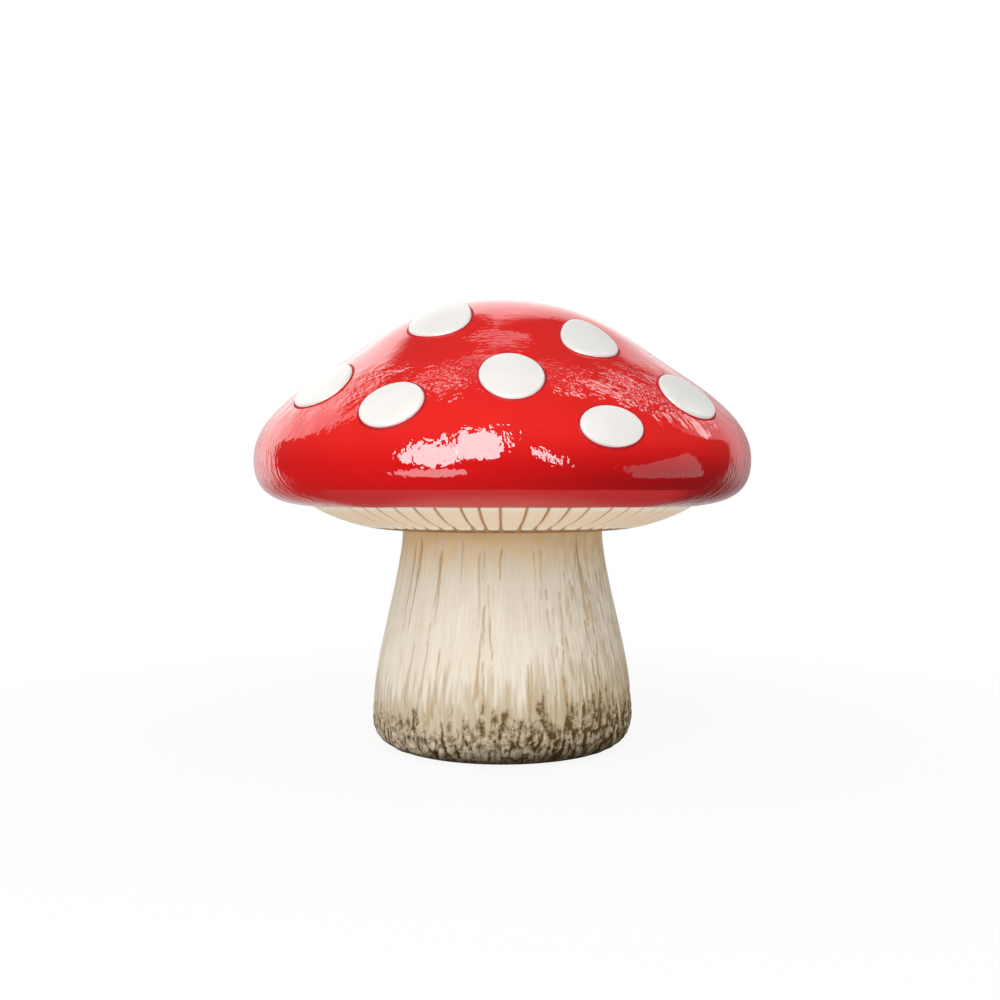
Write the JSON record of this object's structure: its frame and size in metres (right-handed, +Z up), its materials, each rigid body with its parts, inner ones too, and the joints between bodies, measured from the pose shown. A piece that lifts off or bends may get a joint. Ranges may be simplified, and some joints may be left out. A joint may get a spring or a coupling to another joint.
{
  "type": "fibreglass mushroom figure",
  "caption": "Free-standing toadstool ornament: hollow gloss red cap with raised white spots, ribbed cream gills below and a hollow flared stem with a fibrous finish and a soiled foot.",
  "frame": {"origin": "on the axis of the figure, at ground level", "axes": "+Z up along the axis, -Y towards the front that the picture shows, +X to its right"},
  "size_m": [0.5, 0.5, 0.4517],
  "materials": {
    "red_gelcoat": "gloss, brushed by hand",
    "white_gelcoat": "semi-gloss",
    "gill_paint": "satin paint, brown wash in the grooves",
    "stem_paint": "satin paint with cracks and a soiled foot",
    "plywood": "sanded, unpainted",
    "zinc_steel": "zinc plated"
  },
  "bodies": {
    "root": {"cap_shell": "red_gelcoat", "gill_pan": "gill_paint", "stem_shell": "stem_paint", "cap_ring": "plywood", "neck_ring": "plywood", "base_board": "plywood", "spot_front_high_left": "white_gelcoat", "spot_front_high_right": "white_gelcoat", "spot_front_middle": "white_gelcoat", "spot_front_low_left": "white_gelcoat", "spot_front_low_right": "white_gelcoat", "spot_left": "white_gelcoat", "spot_right": "white_gelcoat", "spot_right_high": "white_gelcoat", "spot_right_low": "white_gelcoat", "spot_back_right": "white_gelcoat", "spot_back_right_low": "white_gelcoat", "spot_back_right_high": "white_gelcoat", "spot_back": "white_gelcoat", "spot_back_left_high": "white_gelcoat", "spot_back_left_low": "white_gelcoat", "spot_back_left": "white_gelcoat", "spot_left_high": "white_gelcoat", "spot_left_low": "white_gelcoat", "spot_crown": "white_gelcoat", "joint_bolt_1": "zinc_steel", "joint_washer_1": "zinc_steel", "tee_nut_1": "zinc_steel", "joint_bolt_2": "zinc_steel", "joint_washer_2": "zinc_steel", "tee_nut_2": "zinc_steel", "joint_bolt_3": "zinc_steel", "joint_washer_3": "zinc_steel", "tee_nut_3": "zinc_steel", "joint_bolt_4": "zinc_steel", "joint_washer_4": "zinc_steel", "tee_nut_4": "zinc_steel", "base_screw_1": "zinc_steel", "base_screw_2": "zinc_steel", "base_screw_3": "zinc_steel", "base_screw_4": "zinc_steel", "base_screw_5": "zinc_steel", "base_screw_6": "zinc_steel"}
  },
  "joints": []
}
